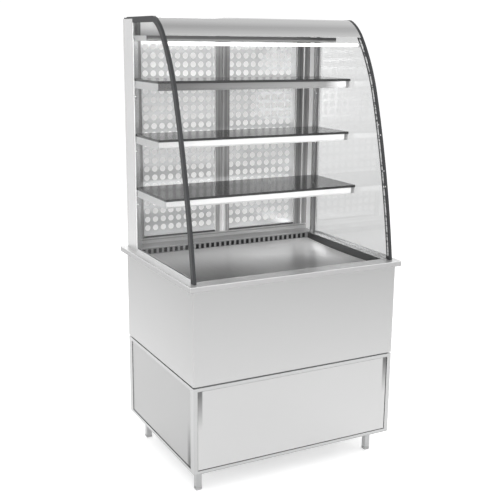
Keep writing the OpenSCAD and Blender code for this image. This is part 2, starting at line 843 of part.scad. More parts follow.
module drain_pipe() {
    color("white") translate([drain_x, drain_y, floor_z + dish_h/2]) {
        difference() {
            cylinder(h = well_z - liner_sheet - floor_z - dish_h/2, r = drain_d/2 + drain_wall);
            translate([0, 0, -cut]) cylinder(h = well_z - floor_z, r = drain_d/2);
        }
        translate([0, 0, body_z - 6 - floor_z - dish_h/2]) difference() {
            cylinder(h = 6, r = drain_d/2 + drain_wall + 10);
            translate([0, 0, -cut]) cylinder(h = 6 + 2*cut, r = drain_d/2);
        }
    }
}

// Windows and bores in the control panel's fascia and box
module control_cuts(y0, y1) {
    rod_y(knob_x, panel_z, y0, y1, shaft_r + run_gap);
    for (x = [power_x, light_x]) {
        block([x - rocker_w/2 - rocker_gap, y0, panel_z - rocker_l/2 - rocker_gap],
            [x + rocker_w/2 + rocker_gap, y1, panel_z + rocker_l/2 + rocker_gap]);
    }
    rod_y(gland_x, panel_z, y0, y1, gland_bore_r + 3.5);
}

fascia_y = grille_face_y + fascia_t;

module control_box() {
    w = panel_w - 16;
    h = panel_h - 16;
    color("dimgray") {
        difference() {
            union() {
                along_y(grille_face_y, fascia_y) translate([panel_x, panel_z]) round_square(panel_w, panel_h, 6);
                block([panel_x - w/2, grille_face_y - box_d, panel_z - h/2],
                    [panel_x + w/2, grille_face_y + cut, panel_z + h/2]);
            }
            block([panel_x - w/2 + 2, grille_face_y - box_d + 2, panel_z - h/2 + 2],
                [panel_x + w/2 - 2, grille_face_y, panel_z + h/2 - 2]);
            control_cuts(grille_face_y - cut, fascia_y + cut);
        }
        for (x = [power_x, light_x]) rocker_cradle(x);
        difference() {
            rod_y(knob_x, panel_z, grille_face_y - 24, grille_face_y + cut, 12);
            rod_y(knob_x, panel_z, grille_face_y - 22, fascia_y + cut, shaft_r + run_gap);
        }
    }
}

// Two cheeks behind the fascia that hold a rocker's pivot
module rocker_cradle(x) {
    z0 = panel_z;
    y0 = grille_face_y - pivot_in;
    difference() {
        for (side = [-1, 1]) {
            x0 = x + side*(rocker_w/2 + rocker_gap + 1.5);
            block([x0 - 1.5, y0 - 6, z0 - 8], [x0 + 1.5, grille_face_y + 0.5, z0 + 8]);
        }
        rod_x(y0, z0, x - rocker_w, x + rocker_w, pivot_r + pivot_gap);
    }
}

// A rocker at rest in its off position; it tilts twice rocker_tilt to its on position
module rocker(x) {
    translate([x, grille_face_y - pivot_in, panel_z]) rotate([-rocker_tilt, 0, 0]) {
        along_x(-rocker_w/2, rocker_w/2) polygon([[-5, -5], [-5, 5], [pivot_in + fascia_t - 1, rocker_l/2 - 1],
            [pivot_in + fascia_t + 4, rocker_l/2 - 1.4], [pivot_in + fascia_t + 2, 0],
            [pivot_in + fascia_t + 4, 1.4 - rocker_l/2], [pivot_in + fascia_t - 1, 1 - rocker_l/2]]);
        rod_x(0, 0, -rocker_w/2 - rocker_gap - 2.5, rocker_w/2 + rocker_gap + 2.5, pivot_r);
    }
}

module power_switch() {
    color("green") rocker(power_x);
}

module light_switch() {
    color("white") rocker(light_x);
}

knob_gap = 0.5;

module thermostat_knob() {
    y0 = fascia_y + knob_gap;
    color("black") difference() {
        union() {
            rod_y(knob_x, panel_z, y0, y0 + knob_h, knob_d/2 - 2);
            rod_y(knob_x, panel_z, y0, y0 + 4, knob_d/2);
            rod_y(knob_x, panel_z, grille_face_y - 21, y0 + cut, shaft_r);
            for (a = [0:20:340]) translate([knob_x, 0, panel_z]) rotate([0, a, 0])
                rod_y(knob_d/2 - 2, 0, y0 + 4 - cut, y0 + knob_h, 1.2);
        }
        block([knob_x - 1, y0 + knob_h - 1.5, panel_z + 4], [knob_x + 1, y0 + knob_h + cut, panel_z + knob_d/2]);
    }
}

module cable_gland() {
    color("black") difference() {
        union() {
            rod_y(gland_x, panel_z, grille_face_y - 10, fascia_y + cut, gland_bore_r + 3.5);
            translate([gland_x, fascia_y + 6, panel_z]) rotate([90, 0, 0]) cylinder(h = 6, r = 12, $fn = 6);
            rod_y(gland_x, panel_z, fascia_y + 6 - cut, fascia_y + gland_l - 3, 9.5);
            rod_y(gland_x, panel_z, fascia_y + gland_l - 4, fascia_y + gland_l, 8);
        }
        rod_y(gland_x, panel_z, grille_face_y - 11, fascia_y + gland_l + cut, gland_bore_r);
    }
}

// The upper body's folded outer skin, open under the worktop
module body_shell() {
    color("lightgray") difference() {
        block([-side_x, front_y, body_z], [side_x, rear_y, sheet_z]);
        block([-side_x + body_sheet, front_y + body_sheet, body_z + body_sheet],
            [side_x - body_sheet, rear_y - body_sheet, sheet_z + cut]);
        body_bores(body_z - cut, body_z + body_sheet + cut);
    }
}

// Ways through the body's floor for the drain and the two refrigerant pipes
module body_bores(z0, z1) {
    translate([drain_x, drain_y, z0]) cylinder(h = z1 - z0, r = drain_d/2 + drain_wall);
}

module body_insulation() {
    color("khaki") difference() {
        block([-side_x + body_sheet, front_y + body_sheet, body_z + body_sheet],
            [side_x - body_sheet, rear_y - body_sheet, sheet_z - liner_sheet]);
        block([-well_x - liner_sheet, well_y0 - liner_sheet, well_z - liner_sheet],
            [well_x + liner_sheet, well_y1 + liner_sheet, sheet_z]);
        body_bores(body_z, well_z);
    }
}

module worktop() {
    color("silver") {
        translate([0, 0, sheet_z]) linear_extrude(top_sheet) difference() {
            round_square(worktop_w, worktop_d, top_corner_r);
            translate([-well_x, well_y0]) square([2*well_x, well_y1 - well_y0]);
        }
        translate([0, 0, worktop_h - rim_h]) linear_extrude(rim_h) difference() {
            round_square(worktop_w, worktop_d, top_corner_r);
            square([worktop_w - 2*top_sheet, worktop_d - 2*top_sheet], center = true);
        }
        translate([0, 0, worktop_h - rim_h]) linear_extrude(top_sheet) difference() {
            round_square(worktop_w, worktop_d, top_corner_r);
            square([worktop_w - 2*rim_return, worktop_d - 2*rim_return], center = true);
        }
    }
}

ledge_w = 12;
beam_w = 16;
beam_h = 22;

module well_liner() {
    color("lightgray") {
        difference() {
            union() {
                block([-well_x - liner_sheet, well_y0 - liner_sheet, well_z - liner_sheet],
                    [well_x + liner_sheet, well_y1 + liner_sheet, sheet_z]);
                block([-well_x - liner_flange, well_y0 - liner_flange, sheet_z - liner_sheet],
                    [well_x + liner_flange, well_y1 + liner_flange, sheet_z]);
            }
            block([-well_x, well_y0, well_z], [well_x, well_y1, sheet_z + cut]);
            translate([drain_x, drain_y, well_z - liner_sheet - cut]) cylinder(h = 4, r = drain_d/2);
        }
        block([-well_x - cut/2, well_y0 - cut/2, deck_z - deck_sheet - 2],
            [well_x + cut/2, well_y0 + ledge_w, deck_z - deck_sheet]);
        block([-well_x - cut/2, grille_y - beam_w, deck_z - 2*deck_sheet - beam_h],
            [well_x + cut/2, grille_y, deck_z - 2*deck_sheet]);
    }
}

// The dished deck: flat borders, a sheet between two arcs, and a lip turned down in front
module display_deck() {
    x1 = well_x - deck_gap;
    y0 = well_y0 + deck_gap;
    y1 = grille_y;
    dish_y0 = y0 + ledge_w + 4;
    dish_y1 = y1 - beam_w;
    chord = dish_y1 - dish_y0;
    dish_r = (chord*chord/4 + deck_sag*deck_sag)/(2*deck_sag);
    dish_z = deck_z - deck_sag + dish_r;
    color("silver") {
        intersection() {
            difference() {
                rod_x((dish_y0 + dish_y1)/2, dish_z, -x1, x1, dish_r + deck_sheet, long_arc);
                rod_x((dish_y0 + dish_y1)/2, dish_z, -x1 - cut, x1 + cut, dish_r, long_arc);
            }
            block([-x1, dish_y0, deck_z - deck_sag - 2*deck_sheet], [x1, dish_y1, deck_z]);
        }
        block([-x1, y0, deck_z - deck_sheet], [x1, dish_y0 + 0.2, deck_z]);
        block([-x1, dish_y1 - 0.2, deck_z - deck_sheet], [x1, y1, deck_z]);
        block([-x1, y0 + ledge_w, deck_z - deck_lip], [x1, y0 + ledge_w + deck_sheet, deck_z - deck_sheet/2]);
    }
}

module air_grille() {
    slots = floor((2*well_x - 20)/slot_pitch);
    foot_z = deck_z - 2*deck_sheet;
    color("gray") {
        along_y(grille_y, grille_y + deck_sheet) difference() {
            translate([-well_x, foot_z]) square([2*well_x, worktop_h - foot_z]);
            for (i = [0:slots - 1]) {
                translate([(i - (slots - 1)/2)*slot_pitch - slot_w/2, deck_z + (deck_drop - slot_h)/2 - 1])
                    square([slot_w, slot_h]);
            }
        }
        block([-well_x, grille_y - beam_w, foot_z], [well_x, grille_y + cut, foot_z + deck_sheet]);
    }
}

evap_w = 520;
evap_d = 130;
evap_h = 190;
evap_y = -60;

module evaporator_coil() {
    color("slategray") translate([0, evap_y, well_z]) finned_coil(evap_w, evap_d, evap_h);
}

module evaporator_fan_frame() {
    color("gray") {
        difference() {
            block([-well_x, fan_plate_y, well_z], [well_x, fan_plate_y + fan_plate_t, fan_plate_z]);
            for (x = [-1, 1]) rod_y(x*evap_fan_x, evap_fan_z, fan_plate_y - cut, fan_plate_y + fan_plate_t + cut,
                evap_fan_r + tip_gap);
        }
        for (x = [-1, 1]) translate([x*evap_fan_x, evap_rotor_y, evap_fan_z]) {
            fan_ring(evap_fan_r, motor_front(evap_deep), fan_plate_y + fan_plate_t - evap_rotor_y);
            fan_motor(evap_fan_r, evap_deep);
        }
    }
}

evap_deep = 22;
evap_rotor_y = fan_plate_y + fan_plate_t - evap_deep/2;

module evaporator_fan(side) {
    color("black") translate([side*evap_fan_x, evap_rotor_y, evap_fan_z]) fan_rotor(evap_fan_r, evap_deep);
}

cover_screws = [for (z = [0:4]) worktop_h + 60 + z*(wall_top - worktop_h - 120)/4];

module casing_cheek(right) {
    x0 = -side_x + cheek_inset;
    color("whitesmoke") on_side(right) {
        block([x0, casing_y, worktop_h], [x0 + cheek_t, cheek_y, cheek_top]);
        difference() {
            block([x0, cheek_y - cover_sheet, worktop_h], [x0 + cheek_t + cheek_flange, cheek_y, cheek_top]);
            for (z = cover_screws) rod_y(x0 + cover_inset + 6, z, cheek_y - 2*cover_sheet, cheek_y + cut, screw_r);
        }
    }
}

module rear_cover() {
    x0 = -side_x + cheek_inset + cover_inset;
    color("silver") difference() {
        block([x0, cheek_y, worktop_h], [-x0, cover_y + cover_sheet, wall_top]);
        block([x0 + cover_sheet, cheek_y - cut, worktop_h - cut], [-x0 - cover_sheet, cover_y, wall_top - cover_sheet]);
        both_sides() for (z = cover_screws) rod_y(-x0 - 7, z, cover_y - cut, cover_y + cover_sheet + cut, screw_r);
    }
}

module rear_insulation() {
    x0 = -side_x + cheek_inset + cheek_t + cheek_flange;
    color("khaki") block([x0, foam_y, worktop_h], [-x0, cover_y, wall_top - cover_sheet]);
}

module white_liner() {
    color("white") block([-cheek_x, white_y, worktop_h], [cheek_x, foam_y, wall_top]);
}

// The polished sheet with its square grid of round holes
module perforated_wall() {
    color("silver") along_y(wall_y, wall_y + perf_sheet) difference() {
        translate([-cheek_x, worktop_h]) square([2*cheek_x, wall_top - worktop_h]);
        for (i = [0:hole_columns - 1], j = [0:hole_rows - 1]) {
            translate([hole_shift + (i - (hole_columns - 1)/2)*column_pitch, worktop_h + hole_foot + j*row_pitch])
                circle(d = hole_d);
        }
    }
}

// A mullion: a folded channel with a shallow groove down its face
module mullion_section() {
    w = mullion_w/2;
    t = mullion_sheet;
    polygon([[-w, mullion_d], [-w, 0], [-groove_w/2, 0], [0, groove_d], [groove_w/2, 0], [w, 0], [w, mullion_d],
        [w - t, mullion_d], [w - t, t], [groove_w/2 + t/2, t], [0, groove_d + 1.4*t], [-groove_w/2 - t/2, t],
        [-w + t, t], [-w + t, mullion_d]]);
}

module mullions() {
    color("dimgray") for (x = [-cheek_x + mullion_w/2, 0, cheek_x - mullion_w/2]) {
        translate([x, wall_y - mullion_d, sill_top]) linear_extrude(wall_top - sill_top) mullion_section();
    }
}

// The sloping sill between the air grille and the perforated wall
module sill() {
    band_y = wall_y - sill_band_setback;
    t = sill_sheet;
    step_y = band_y + sill_step_d;
    slope_z = worktop_h + sill_slope_h;
    band_z = slope_z + sill_band_h;
    color("gray") along_x(-cheek_x, cheek_x)
        polygon([[grille_y, worktop_h], [grille_y + 8, worktop_h], [band_y + t, slope_z - t],
            [band_y + t, band_z - t], [step_y + t, band_z - t], [step_y + t, sill_top - t],
            [wall_y, sill_top - t], [wall_y, sill_top], [step_y, sill_top], [step_y, band_z],
            [band_y, band_z], [band_y, slope_z], [grille_y, worktop_h + t]]);
}

// A corner upright, narrower above the top rail, with a screw under each shelf
module upright(right) {
    x0 = -cheek_x;
    neck_z = top_z - top_rail_z;
    color("dimgray") on_side(right) difference() {
        union() {
            block([x0, upright_y, worktop_h], [x0 + upright_w, upright_y + upright_d, neck_z]);
            block([x0, upright_y, neck_z - cut], [x0 + upright_neck, upright_y + upright_d, cheek_top]);
        }
        for (z = shelf_levels) rod_y(x0 + upright_w/2, worktop_h + z - screw_drop, upright_y - cut, upright_y + 8, screw_r);
    }
}

module canopy() {
    back_y = cover_y + cover_sheet;
    color("silver") {
        difference() {
            glass_slab(canopy_step, back_y + canopy_sheet, -trim_x1, trim_x1);
            glass_slab(canopy_step + canopy_sheet, back_y + canopy_sheet + cut, -trim_x1 - cut, trim_x1 + cut);
            block([-trim_x1 - cut, front_y, worktop_h - cut],
                [trim_x1 + cut, back_y + worktop_d, top_z - canopy_foot]);
        }
        block([-trim_x1, back_y, top_z - canopy_step - canopy_fold],
            [trim_x1, back_y + canopy_sheet, top_z - canopy_step - canopy_sheet/2]);
        block([-trim_x1, canopy_edge_y + 0.8, top_z - canopy_foot],
            [trim_x1, canopy_edge_y + canopy_lip, top_z - canopy_foot + canopy_sheet]);
    }
}

// Where the canopy's outline crosses its lower edge, on the brow arc
brow_centre = profile_p2 + brow_r*unit(lean_shoulder);
canopy_edge_y = brow_centre[0] - sqrt(pow(brow_r - canopy_step, 2)
    - pow(top_z - canopy_foot - brow_centre[1], 2));

// The short upper rail on its two arms from the uprights
module top_rail() {
    z1 = top_z - top_rail_z;
    y0 = casing_y - top_rail_reach;
    x1 = inner_x - 4;
    color("gray") {
        along_x(-x1, x1) difference() {
            translate([y0, z1 - top_rail_h]) square([top_rail_t, top_rail_h]);
            translate([y0, z1 - top_rail_h]) difference() {
                square(top_rail_r);
                translate([top_rail_r, top_rail_r]) circle(r = top_rail_r);
            }
        }
        both_sides() block([-x1, y0 + top_rail_t - cut, z1 - top_rail_h], [-x1 + arm_t, upright_y, z1]);
    }
}

lamp_x = trim_x1 - holder_l;
lamp_middle = [canopy_edge_y + lamp_front + lamp_d/2, top_z - lamp_z];

module lamp() {
    color("white") along_x(-lamp_x, lamp_x) translate(lamp_middle) round_square(lamp_d, lamp_h, 4);
}

module lamp_holders() {
    color("dimgray") both_sides() along_x(-trim_x1, -lamp_x) translate(lamp_middle)
        round_square(lamp_d + 2*holder_rim, holder_h, 3);
}

module shelf(i) {
    z1 = worktop_h + shelf_levels[i];
    y0 = casing_y - shelf_depths[i];
    color("dimgray") difference() {
        block([-shelf_x, y0, z1 - shelf_t], [shelf_x, upright_y + shelf_tail, z1]);
        both_sides() block([-shelf_x - cut, upright_y, z1 - shelf_t - cut],
            [-cheek_x + upright_w + cut/2, upright_y + shelf_tail + cut, z1 + cut]);
    }
}

// Section of a shelf's front bar: a flat face over a foot that slopes back
module bar_section() {
    polygon([[0, 0], [bar_t, 0], [bar_t, -bar_h], [lip_t, -bar_h], [0, lip_h - bar_h]]);
}

module shelf_bars() {
    color("white") for (i = [0:2]) {
        z1 = worktop_h + shelf_levels[i] - shelf_t;
        y0 = casing_y - shelf_depths[i] + bar_setback;
        translate([0, y0, z1]) along_x(-shelf_x + arm_t, shelf_x - arm_t - bar_short) bar_section();
    }
}

// The two arms under each shelf, each with a rounded lower front corner
module shelf_brackets() {
    color("lightgray") for (i = [0:2]) {
        z1 = worktop_h + shelf_levels[i] - shelf_t;
        y0 = casing_y - shelf_depths[i] + bar_setback;
        both_sides() along_x(-shelf_x, -shelf_x + arm_t) difference() {
            translate([y0, z1 - arm_h]) square([upright_y - y0, arm_h]);
            translate([y0, z1 - arm_h]) difference() {
                translate([-cut, -cut]) square(arm_r + cut);
                translate([arm_r, arm_r]) circle(r = arm_r);
            }
        }
    }
}

module side_glass(right) {
    color([0.75, 0.8, 0.8, 0.4]) on_side(right) intersection() {
        glass_slab(trim_back + edge_gap, casing_y, -glass_x, -inner_x);
        block([-glass_x - cut, front_y, worktop_h + channel_floor], [-inner_x + cut, casing_y + cut, top_z]);
    }
}

// The dark trim that clasps the glass's curved edge and lies along the casing's top
module glass_trim(right) {
    color("darkslategray") on_side(right) difference() {
        union() {
            difference() {
                glass_slab(0, casing_y, -trim_x0, -trim_x1);
                glass_slab(trim_d, casing_y + 2*cut, -trim_x0 - cut, -trim_x1 + cut);
            }
            block([-trim_x0, casing_y - cut, cheek_top], [-trim_x1, casing_y + trim_tail, top_z]);
        }
        glass_slab(trim_back, casing_y, -glass_x, -inner_x);
    }
}

// The foot channels that hold the glass on the worktop behind the trim
module glass_channels() {
    y0 = arc_point(0, lean_foot, trim_d)[0] + 4;
    color("silver") both_sides() difference() {
        block([-trim_x0, y0, worktop_h], [-trim_x1, casing_y, worktop_h + channel_h]);
        block([-glass_x, y0 - cut, worktop_h + channel_floor], [-inner_x, casing_y + cut, worktop_h + channel_h + cut]);
    }
}

module screw(shank, head_r) {
    rotate([90, 0, 0]) {
        translate([0, 0, -shank]) cylinder(h = shank, r = screw_r);
        intersection() {
            cylinder(h = 2, r = head_r);
            translate([0, 0, 2 - head_r*1.6]) sphere(r = head_r*1.6);
        }
    }
}

module screws() {
    color("white") {
        both_sides() for (z = shelf_levels) translate([-cheek_x + upright_w/2, upright_y, worktop_h + z - screw_drop])
            screw(7, 4);
        for (p = grille_screws) translate([p[0], grille_face_y, p[1]]) rotate([0, 0, 180]) screw(6, 5);
        both_sides() for (z = cover_screws) translate([-side_x + cheek_inset + cover_inset + 7, cover_y + cover_sheet, z])
            rotate([0, 0, 180]) screw(cover_sheet, 5);
    }
}

base_pan();
base_frame();
leg(false, false);  // leg_front_left
leg(true, false);  // leg_front_right
leg(false, true);  // leg_rear_left
leg(true, true);  // leg_rear_right
leg_feet();
lower_front_panel();
lower_side_panel(false);  // lower_left_panel
lower_side_panel(true);  // lower_right_panel
rear_service_grille();
compressor();
condenser_coil();
fan_shroud();
condenser_fan();
refrigerant_pipes();
filter_drier();
condensate_pan();
drain_pipe();
control_box();
thermostat_knob();
power_switch();
light_switch();
cable_gland();
body_shell();
body_insulation();
worktop();
well_liner();
display_deck();
air_grille();
evaporator_coil();
evaporator_fan_frame();
evaporator_fan(-1);  // evaporator_fan_left
evaporator_fan(1);  // evaporator_fan_right
casing_cheek(false);  // casing_left_cheek
casing_cheek(true);  // casing_right_cheek
rear_cover();
rear_insulation();
white_liner();
perforated_wall();
mullions();
sill();
upright(false);  // upright_left
upright(true);  // upright_right
canopy();
top_rail();
lamp();
lamp_holders();
shelf(0);  // shelf_lower
shelf(1);  // shelf_middle
shelf(2);  // shelf_upper
shelf_bars();
shelf_brackets();
side_glass(false);  // side_glass_left
side_glass(true);  // side_glass_right
glass_trim(false);  // glass_trim_left
glass_trim(true);  // glass_trim_right
glass_channels();
screws();
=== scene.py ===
import json
from math import cos, radians, sin

import bmesh
import bpy
from mathutils import Matrix, Vector


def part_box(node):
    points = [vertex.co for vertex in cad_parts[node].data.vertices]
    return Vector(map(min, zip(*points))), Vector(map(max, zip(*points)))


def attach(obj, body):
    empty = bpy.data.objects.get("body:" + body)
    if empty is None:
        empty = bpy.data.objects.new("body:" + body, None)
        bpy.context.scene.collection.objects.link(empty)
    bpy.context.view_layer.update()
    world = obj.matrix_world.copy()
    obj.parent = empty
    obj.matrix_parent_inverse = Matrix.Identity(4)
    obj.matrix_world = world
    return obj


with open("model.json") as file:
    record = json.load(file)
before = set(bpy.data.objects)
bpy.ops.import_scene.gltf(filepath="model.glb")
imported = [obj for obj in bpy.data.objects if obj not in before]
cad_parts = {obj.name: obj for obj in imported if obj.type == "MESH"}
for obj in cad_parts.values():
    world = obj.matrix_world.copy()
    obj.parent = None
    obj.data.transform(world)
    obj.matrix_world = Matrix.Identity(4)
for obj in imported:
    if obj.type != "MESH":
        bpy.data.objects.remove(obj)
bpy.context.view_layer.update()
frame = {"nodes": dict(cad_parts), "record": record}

scene = bpy.context.scene
nodes = frame["nodes"]

# Lengths are in metres: x runs to the case's right, y to its rear and z up.

# ---------------------------------------------------------------- camera
# A pin-hole camera fitted to the edges in the photograph
IMAGE_PX = 500
FOCAL_PX = 884.0
SENSOR_MM = 36
EYE = Vector((-1.7943, -3.3427, 1.8156))
YAW, PITCH, ROLL = 0.4844, 0.2333, 0.0101

forward = Vector((sin(YAW) * cos(PITCH), cos(YAW) * cos(PITCH), -sin(PITCH)))
level = Vector((cos(YAW), -sin(YAW), 0))
above = level.cross(forward)
right = level * cos(ROLL) + above * sin(ROLL)
up = above * cos(ROLL) - level * sin(ROLL)

lens = bpy.data.cameras.new("camera")
lens.sensor_fit = "HORIZONTAL"
lens.sensor_width = SENSOR_MM
lens.lens = SENSOR_MM * FOCAL_PX / IMAGE_PX
lens.clip_end = 200
camera = bpy.data.objects.new("camera", lens)
turn = Matrix((right, up, -forward)).transposed().to_4x4()
camera.matrix_world = Matrix.Translation(EYE) @ turn
scene.collection.objects.link(camera)
bpy.context.scene.camera = camera
scene.view_settings.view_transform = "Standard"

# ---------------------------------------------------------------- node helpers
BLACK, WHITE = (0, 0, 0), (1, 1, 1)
WHITE_GLOW = (1, 1, 1, 1)
RELIEF_DEPTH = 0.0002
NOISE_LOW, NOISE_HIGH = 0.3, 0.7  # where nearly all values of a noise lie


class Tree:
    """Short calls for the nodes of one material, or of the world."""

    def __init__(self, owner, shader="Principled BSDF", coordinates="Object"):
        owner.use_nodes = True
        self.owner = owner
        self.tree = owner.node_tree
        self.shader = self.tree.nodes[shader]
        self.place = self.add("ShaderNodeTexCoord").outputs[coordinates]

    def add(self, kind, **settings):
        node = self.tree.nodes.new(kind)
        for key, value in settings.items():
            setattr(node, key, value)
        return node

    def feed(self, socket, value):
        """Link a node's output to the socket, or set the socket's own value."""
        if hasattr(value, "is_output"):
            self.tree.links.new(value, socket)
        else:
            socket.default_value = value

    def put(self, **values):
        """Feed the shader's sockets, written with _ for each space."""
        for key, value in values.items():
            self.feed(self.shader.inputs[key.replace("_", " ")], value)

    def noise(self, scale, stretch=(1, 1, 1), detail=2.0, rough=0.5):
        mapping = self.add("ShaderNodeMapping")
        self.feed(mapping.inputs["Scale"], stretch)
        self.feed(mapping.inputs["Vector"], self.place)
        node = self.add("ShaderNodeTexNoise")
        self.feed(node.inputs["Scale"], scale)
        self.feed(node.inputs["Detail"], detail)
        self.feed(node.inputs["Roughness"], rough)
        self.feed(node.inputs["Vector"], mapping.outputs["Vector"])
        return node.outputs["Fac"]

    def spread(self, value, low, high, start=NOISE_LOW, end=NOISE_HIGH, step="LINEAR"):
        """Run from low to high while the value runs from start to end."""
        node = self.add("ShaderNodeMapRange", interpolation_type=step)
        self.feed(node.inputs["Value"], value)
        self.feed(node.inputs["From Min"], start)
        self.feed(node.inputs["From Max"], end)
        self.feed(node.inputs["To Min"], low)
        self.feed(node.inputs["To Max"], high)
        return node.outputs["Result"]

    def ease(self, value, low, high, start=0.0, end=1.0):
        """The same, with soft ends."""
        return self.spread(value, low, high, start, end, "SMOOTHERSTEP")

    def pick(self, mask, low, high):
        """low where the mask is 0 and high where it is 1."""
        return self.spread(mask, low, high, 0, 1)

    def math(self, operation, *values):
        node = self.add("ShaderNodeMath", operation=operation)
        for socket, value in zip(node.inputs, values):
            self.feed(socket, value)
        return node.outputs["Value"]

    def plus(self, first, second):
        return self.math("ADD", first, second)

    def times(self, first, second):
        return self.math("MULTIPLY", first, second)

    def split(self):
        node = self.add("ShaderNodeSeparateXYZ")
        self.feed(node.inputs["Vector"], self.place)
        return node.outputs

    def spot(self, centre, reach, angle):
        """1 at the centre, falling to 0 at the edge of a turned ellipse."""
        mapping = self.add("ShaderNodeMapping", vector_type="TEXTURE")
        self.feed(mapping.inputs["Location"], centre)
        self.feed(mapping.inputs["Rotation"], (0, 0, angle))
        self.feed(mapping.inputs["Scale"], reach)
        self.feed(mapping.inputs["Vector"], self.place)
        node = self.add("ShaderNodeTexGradient", gradient_type="SPHERICAL")
        self.feed(node.inputs["Vector"], mapping.outputs["Vector"])
        return node.outputs["Fac"]

    def blend(self, factor, low, high):
        """Mix two colours, each given as three numbers or as a node's output."""
        node = self.add("ShaderNodeMix", data_type="RGBA")
        self.feed(node.inputs["Factor"], factor)
        sockets = [socket for socket in node.inputs if socket.type == "RGBA"]
        for socket, colour in zip(sockets, (low, high)):
            self.feed(socket, colour if hasattr(colour, "is_output") else (*colour, 1))
        return [socket for socket in node.outputs if socket.type == "RGBA"][0]

    def grey(self, tone):
        """The colour from black at tone 0 to white at tone 1."""
        return self.blend(tone, BLACK, WHITE)

    def ramp(self, factor, tones):
        """Grey tones by position, of which the first and last are the ramp's ends."""
        node = self.add("ShaderNodeValToRGB")
        self.feed(node.inputs["Fac"], factor)
        stops = node.color_ramp.elements
        for stop, (position, value) in zip(stops, (tones[0], tones[-1])):
            stop.position, stop.color = position, (value, value, value, 1)
        for position, value in tones[1:-1]:
            stops.new(position).color = (value, value, value, 1)
        return node.outputs["Color"]

    def relief(self, height, strength, edge=0.0):
        """Bump from the height, over edges that look rounded by the radius edge."""
        node = self.add("ShaderNodeBump")
        self.feed(node.inputs["Strength"], strength)
        self.feed(node.inputs["Distance"], RELIEF_DEPTH)
        self.feed(node.inputs["Height"], height)
        if edge:
            rounding = self.add("ShaderNodeBevel", samples=4)
            self.feed(rounding.inputs["Radius"], edge)
            self.feed(node.inputs["Normal"], rounding.outputs["Normal"])
        self.feed(self.shader.inputs["Normal"], node.outputs["Normal"])


def new_tree(name):
    return Tree(bpy.data.materials.new(name))


def scaled(colour, factor):
    return tuple(min(1.0, c * factor) for c in colour)


# ---------------------------------------------------------------- kinds of surface
# Noise stretched so that its fine lines change fastest along the named axis
GRAIN = {"x": (700, 5, 5), "y": (5, 700, 5), "z": (5, 5, 700)}
CLOUD = 2.6          # scale of the large soft clouds on steel
STEEL_WEAR = 0.008   # how far brushed steel's roughness strays to either side
SOLID_WEAR = 0.04    # the same for plastic and paint
SATIN_WEAR = 0.004   # the same for satin sheet
GLASS_FOOT_Z = (0.9, 1.35)


def steel(name, colour, rough, across="z", tone=0.05, relief=0.05, edge=0.0008, tint=None,
          metallic=1.0):
    """Brushed sheet whose fine lines change fastest along the axis across."""
    t = new_tree(name)
    lines = t.noise(1.0, GRAIN[across], detail=3)
    cloud = t.noise(CLOUD, detail=3)
    mixed = t.plus(t.times(lines, 0.55), t.times(cloud, 0.45))
    dark, light = scaled(colour, 1 - tone), scaled(tint or colour, 1 + tone)
    t.put(Base_Color=t.blend(t.spread(mixed, 0, 1, 0.35, 0.65), dark, light),
          Roughness=t.spread(mixed, rough - STEEL_WEAR, rough + STEEL_WEAR), Metallic=metallic)
    t.relief(lines, relief, edge)
    return t.owner


def solid(name, colour, rough, metallic=0.0, fine=900.0, tone=0.06, relief=0.08, edge=0.0006,
          **sockets):
    """Plastic, paint or cast surface with a fine grain and slight wear."""
    t = new_tree(name)
    speck = t.noise(fine, detail=2)
    cloud = t.noise(14.0, detail=3)
    dark, light = scaled(colour, 1 - tone), scaled(colour, 1 + tone)
    t.put(Base_Color=t.blend(t.spread(cloud, 0, 1), dark, light),
          Roughness=t.spread(speck, rough - SOLID_WEAR, rough + SOLID_WEAR),
          Metallic=metallic, **sockets)
    t.relief(speck, relief, edge)
    return t.owner


def glass(name, colour, ior=1.45, foot_tint=0.76):
    """Clear sheet whose colour is darker by the factor foot_tint at its foot."""
    t = new_tree(name)
    film = t.noise(9.0, detail=3)
    foot = t.spread(t.split()["Z"], foot_tint, 1, *GLASS_FOOT_Z)
    tone = t.times(foot, t.spread(film, 0.985, 1))
    t.put(Base_Color=t.blend(tone, BLACK, colour), Roughness=0.004,
          Transmission_Weight=1.0, IOR=ior)
    return t.owner


def painted_height_tones(name, first, last, start, end, rough, metallic, grain="x"):
    """Satin sheet whose tone runs from first to last between two heights: painted reflection and
    shade that change with height.
    """
    t = new_tree(name)
    tone = t.spread(t.split()["Z"], 0, 1, start, end)
    lines = t.noise(1.0, GRAIN[grain], detail=2)
    mixed = t.plus(tone, t.spread(lines, -0.03, 0.03))
    t.put(Base_Color=t.blend(mixed, (first, first, first), (last, last, last)),
          Roughness=t.spread(t.noise(CLOUD), rough - SATIN_WEAR, rough + SATIN_WEAR),
          Metallic=metallic)
    t.relief(lines, 0.005, edge=0.002)
    return t.owner


# ---------------------------------------------------------------- looks of single parts
# The large soft tones on these parts stand for the room that the photographed steel
# reflects. Each is placed by two positions on the part, where it starts and where it ends.
def bar_look():
    """Satin bars with painted light: lighter towards the right, and the upper one, out of the
    lamp's light, has painted shade but for its right end, a painted highlight.
    """
    sheen_x, upper_z, highlight_end_x = (-0.44, 0.4), (1.5, 1.62), (0.33, 0.41)
    t = new_tree("bar_satin")
    axes = t.split()
    lines = t.noise(1.0, GRAIN["z"], detail=2)
    # Painted shade on the upper bar but for a painted highlight at its right end; all bars lighter
    # towards the right.
    shade = t.times(t.spread(axes["Z"], 0, 0.57, *upper_z), t.spread(axes["X"], 1, 0, *highlight_end_x))
    tone = t.plus(t.spread(axes["X"], 0.7, 0.95, *sheen_x), t.spread(lines, -0.02, 0.02))
    t.put(Base_Color=t.grey(t.math("SUBTRACT", tone, shade)),
          Roughness=t.spread(lines, 0.28, 0.32), Metallic=0.3)
    t.relief(lines, 0.005)
    return t.owner


